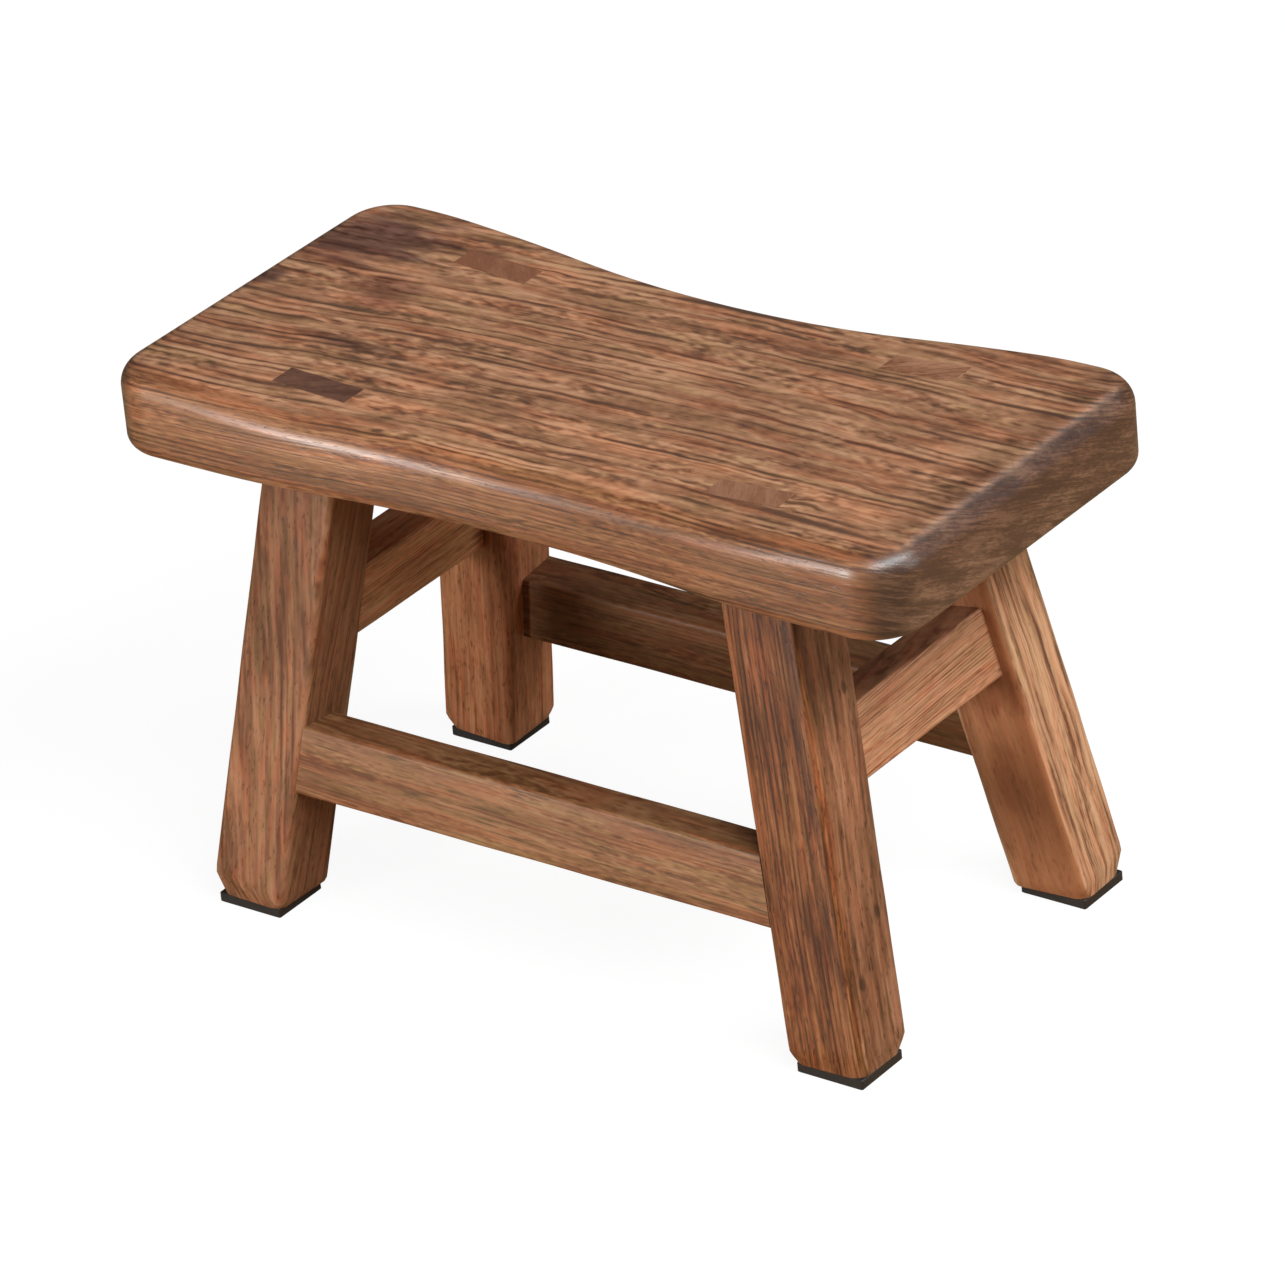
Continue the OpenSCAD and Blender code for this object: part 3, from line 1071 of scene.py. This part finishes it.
# What sets each leg's timber apart: its layers' tilt and run-out in degrees, and changes to the look
LEG_LOOKS = {
    "front_left": (65, -4.0, {
        "hair": 0.5,
        "streak": 1.0,
        "stains_and_painted_light": [
            ((-98, -62, 118), (14, 20, 34), 0, (0.84, 0.82, 0.78, 1)),
            ((-104, -74, 96), (5, 16, 22), 0, (0.76, 0.78, 0.72, 1)),
            ((-106, -66, 34), (16, 20, 34), 0, (1.1, 1.1, 1.12, 1)),
        ],
        "redder": 1.0,
        "greener": 1.0,
        "flat_tint": (1.05, 1.05, 1.06, 1),
        "palette": [(88, 54, 32), (105, 67, 44), (131, 88, 62), (150, 105, 76), (160, 117, 88)],
        "end_palette": [(86, 57, 46), (100, 69, 56), (112, 80, 65)],
    }),
    "front_right": (32, 0.0, {
        "pitch": 1.2,
        "length": 0.8,
        "streak": 1.15,
        "hair": 0.5,
        "line": 0.2,
        "redder": 1.0,
        "greener": 1.0,
        "flat_on": 0.5,
        "flat_tint": (1.33, 1.76, 2.6, 1),
        "stains_and_painted_light": [
            ((100, -59, 128), (4, 12, 26), 0, (0.78, 0.76, 0.7, 1)),
            ((99, -66, 82), (4, 8, 20), 0, (0.8, 0.8, 0.74, 1)),
            ((119.3, -49.4, 50.1), (1.6, 1.6, 2.6), 0, (0.4, 0.42, 0.45, 1)),
            ((122.4, -64.7, 32.5), (1.6, 1.6, 2.6), 0, (0.4, 0.42, 0.45, 1)),
            ((107, -41.1, 120.2), (1.4, 1.4, 2.4), 0, (0.35, 0.36, 0.38, 1)),
        ],
        "edge_on": 1.1,
        "palette": [(68, 36, 19), (85, 48, 26), (114, 68, 40), (138, 86, 54), (158, 107, 72)],
        "end_palette": [(136, 92, 68), (147, 104, 79), (156, 113, 87)],
    }),
    "back_left": (40, 0.0, {
        "pitch": 1.4,
        "hair": 0.45,
        "line": 0.12,
        "stains_and_painted_light": [((-96, 38, 92), (9, 12, 18), 0, (0.68, 0.7, 0.62, 1))],
        "palette": [(110, 65, 40), (132, 80, 51), (164, 106, 73), (183, 126, 91), (196, 141, 105)],
        "end_palette": [(127, 83, 61), (135, 91, 68), (144, 99, 74)],
    }),
    "back_right": (62, 0.0, {
        "pitch": 1.7,
        "length": 1.3,
        "ripple": 0.3,
        "streak": 1.15,
        "line": 0.12,
        "broad": 0.1,
        "greener": 0.5,
        "blotch": 0.0,
        "edge_on": 1.0,
        "flat_on": 0.22,
        "flat_tint": (0.92, 0.7, 0.57, 1),
        "pores": 0.08,
        "hair": 0.5,
        "patch": (40, 13, 1.6),
        "stains_and_painted_light": [
            # Painted shadow on the leg's front face, just under the end stretcher's end
            ((101, 40, 79), (14, 8, 11), 0, (0.7, 0.6, 0.56, 1)),
            ((104, 43, 46), (5, 7, 16), 0, (0.85, 0.8, 0.76, 1)),
        ],
        "palette": [(94, 63, 45), (110, 76, 56), (160, 117, 87), (188, 145, 112), (200, 158, 124)],
        "end_palette": [(124, 80, 58), (149, 105, 79), (170, 124, 95)],
    }),
}


def leg_material(number, quarter):
    tilt, run_out, changes = LEG_LOOKS[quarter]
    seed = [number * shift for shift in LEG_SHIFT]
    lie = Lie(LEG_TURN @ UPWARD, LEG_FOOT, tilt, run_out, seed, QUARTERS[quarter])
    return timber_material("leg_timber_" + quarter, lie, {**TIMBER, **changes})


LONG_LOOK = {
    **TIMBER,
    "palette": [(104, 65, 38), (120, 78, 48), (136, 93, 61), (151, 108, 74), (163, 121, 86)],
    "ripple": 0.0,
    "pores": 0.12,
    "fleck": 0.6,
    "hair": 0.55,
    "broad": 0.7,
    "blotch": 0.8,
    "patch": (34, 13, 2.2),
    "rough": 0.46,
}
END_LOOK = {
    **TIMBER,
    "palette": [(124, 78, 54), (149, 102, 73), (168, 120, 89), (180, 132, 100), (190, 144, 110)],
    "length": 0.8,
    "pitch": 0.8,
    "flat_tint": (0.8, 0.8, 0.8, 1),
    "edge_on": 1.0,
    "streak": 1.0,
    "line": 0.3,
    "fleck": 0.4,
    "hair": 0.55,
    "pores": 0.08,
    "rough": 0.46,
}

# Two stretchers get painted light and shade over their whole length: the left end one is painted
# lighter, and the back long one carries painted shade
BAR_PAINTED_LIGHT_AND_SHADE = {
    "left": [((-97, 0, 97), (60, 130, 60), 0, (1.34, 1.36, 1.3, 1))],
    "back": [((0, 62, 57), (200, 60, 60), 0, (0.67, 0.65, 0.63, 1))],
}

PAD_DARK = colour(24, 21, 20)
PAD_PALE = colour(42, 38, 36)
PAD_GRAIN = 1.6
PAD_BUMP = 0.2
PAD_RELIEF = 0.1
PAD_ROUGH = 0.5


def pad_material():
    """Black rubber with a faint mottle."""
    material = bpy.data.materials.new("pad_rubber")
    g = Graph(material)
    place = g.add("ShaderNodeTexCoord").outputs["Object"]
    mottle = g.noise(place, (PAD_GRAIN * MM,) * 3, 3.0)
    tint = g.mix(mottle, PAD_DARK, PAD_PALE)
    relief = {"Strength": PAD_BUMP, "Distance": PAD_RELIEF * MM, "Height": mottle}
    bump = g.add("ShaderNodeBump", relief)
    ends = {"Base Color": tint, "Roughness": PAD_ROUGH, "Normal": bump.outputs[0]}
    shader = g.add("ShaderNodeBsdfPrincipled", ends)
    g.add("ShaderNodeOutputMaterial", {"Surface": shader.outputs[0]})
    return material


def dress(piece, material, node):
    """Gives a piece its material and its place in the model."""
    piece.data.materials.clear()
    piece.data.materials.append(material)
    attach(piece, "root")
    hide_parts(node)


# Studio

# The camera, solved from the stool's edges in the photograph: where it stands round the stool and
# above it, its roll, the point that it faces, and its focal length in pixels of the picture
AZIMUTH = math.radians(38.46)
ELEVATION = math.radians(27.772)
ROLL = math.radians(-5.465)
DISTANCE = 2620.1
TARGET = Vector((8.095, -11.562, 97.027))
FOCAL_PX = 8429.2
FRAME_PX = 1285
SENSOR_MM = 36.0

# Floor and sky, in metres. The camera sees a pale floor that glows, and the stool a dim warm one.
CAMERA_REACH = 20.0
FLOOR_SIZE = 12.0
FLOOR_SEEN = (0.12, 0.12, 0.12, 1)
FLOOR_GLOW = 0.92
FLOOR_BOUNCE = (0.36, 0.24, 0.13, 1)
SKY = 0.05

# Lamps: bearing round from +X and height in degrees, distance and size in metres, and gain, the
# light that a surface facing the lamp sends back as a share of its colour
LAMPS = {
    "overhead": ((-14, 48), 2.8, (3.6, 0.9), 1.5),
    "low_front": ((-108, 7), 1.8, (0.42, 0.5), 0.62),
    "low_right": ((20, 12), 1.8, (0.6, 0.4), 0.14),
    "high_back": ((79, 45), 1.8, (0.6, 0.4), 0.06),
}
# The point that all lamps face, in metres
LIT_POINT = Vector((0, 0, 0.1))


def add_camera():
    """The camera at the photograph's place."""
    back = Vector((
        math.sin(AZIMUTH) * math.cos(ELEVATION),
        -math.cos(AZIMUTH) * math.cos(ELEVATION),
        math.sin(ELEVATION),
    ))
    level = Vector((math.cos(AZIMUTH), math.sin(AZIMUTH), 0))
    upright = back.cross(level)
    right = math.cos(ROLL) * level + math.sin(ROLL) * upright
    up = -math.sin(ROLL) * level + math.cos(ROLL) * upright
    data = bpy.data.cameras.new("camera")
    data.sensor_width = SENSOR_MM
    data.lens = SENSOR_MM * FOCAL_PX / FRAME_PX
    data.clip_end = CAMERA_REACH
    camera = bpy.data.objects.new("camera", data)
    bpy.context.scene.collection.objects.link(camera)
    turn = Matrix((right, up, back)).transposed().to_4x4()
    camera.matrix_world = Matrix.Translation((TARGET + back * DISTANCE) * MM) @ turn
    bpy.context.scene.camera = camera


def add_lamp(name, bearing, distance, size, gain):
    """A softbox that faces the stool."""
    data = bpy.data.lights.new(name, "AREA")
    data.shape = "RECTANGLE"
    data.size, data.size_y = size
    data.energy = gain * (math.pi * distance) ** 2
    lamp = bpy.data.objects.new(name, data)
    bpy.context.scene.collection.objects.link(lamp)
    turn, rise = (math.radians(angle) for angle in bearing)
    way = Vector((math.cos(turn) * math.cos(rise), math.sin(turn) * math.cos(rise), math.sin(rise)))
    lamp.location = LIT_POINT + way * distance
    lamp.rotation_mode = "QUATERNION"
    lamp.rotation_quaternion = way.to_track_quat("Z", "Y")


def add_world():
    """Pale for the camera, and a dim sky for the stool."""
    world = bpy.data.worlds.new("studio")
    bpy.context.scene.world = world
    g = Graph(world)
    path = g.add("ShaderNodeLightPath").outputs["Is Camera Ray"]
    strength = g.add("ShaderNodeMix", {0: path, 2: SKY, 3: 1.0}, data_type="FLOAT").outputs[0]
    background = g.add("ShaderNodeBackground", {"Strength": strength})
    g.add("ShaderNodeOutputWorld", {0: background.outputs[0]})


def floor_material():
    """One look for the camera, and another for all other rays."""
    material = bpy.data.materials.new("floor_white")
    g = Graph(material)
    path = g.add("ShaderNodeLightPath").outputs["Is Camera Ray"]
    plain = g.add("ShaderNodeBsdfDiffuse", {"Color": FLOOR_BOUNCE})
    shaded = g.add("ShaderNodeBsdfDiffuse", {"Color": FLOOR_SEEN})
    glow = g.add("ShaderNodeEmission", {"Color": (1, 1, 1, 1), "Strength": FLOOR_GLOW})
    seen = g.add("ShaderNodeAddShader", {0: shaded.outputs[0], 1: glow.outputs[0]})
    both = g.add("ShaderNodeMixShader", {0: path, 1: plain.outputs[0], 2: seen.outputs[0]})
    g.add("ShaderNodeOutputMaterial", {"Surface": both.outputs[0]})
    return material


def add_floor():
    """A white floor that glows for the camera and still keeps the stool's shadow."""
    bpy.ops.mesh.primitive_plane_add(size=FLOOR_SIZE, location=(0, 0, 0))
    floor = bpy.context.object
    floor.name = "floor"
    floor.data.materials.append(floor_material())


# The stool

def add_leg_and_pad(number, quarter):
    leg = make_leg(quarter, LEG_SEED + number)
    dress(leg, leg_material(number, quarter), "leg_" + quarter)
    dress(make_pad(quarter), pad_material(), "foot_pad_" + quarter)


STRETCHERS = {
    "end": (make_end_stretcher, END_SEED, END_LOOK, ALONG_Y, END_LIE, END_SHIFT),
    "long": (make_long_stretcher, LONG_SEED, LONG_LOOK, ALONG_X, LONG_LIE, LONG_SHIFT),
}


def add_stretcher(kind, name, side):
    make, seed, look, grain, lie, shift = STRETCHERS[kind]
    lie = Lie(grain, *lie, (shift[0] * side, *shift[1:]))
    look = {**look, "stains_and_painted_light": BAR_PAINTED_LIGHT_AND_SHADE.get(name, [])}
    material = timber_material(kind + "_stretcher_timber_" + name, lie, look)
    dress(make(side, seed + side), material, kind + "_stretcher_" + name)


bpy.context.scene.view_settings.view_transform = "Standard"
add_camera()
add_world()
add_floor()
for name, settings in LAMPS.items():
    add_lamp(name, *settings)

dress(make_seat(), seat_material(), "seat")
for number, quarter in enumerate(QUARTERS):
    add_leg_and_pad(number, quarter)
for name, side in (("left", -1), ("right", 1)):
    add_stretcher("end", name, side)
for name, side in (("front", -1), ("back", 1)):
    add_stretcher("long", name, side)
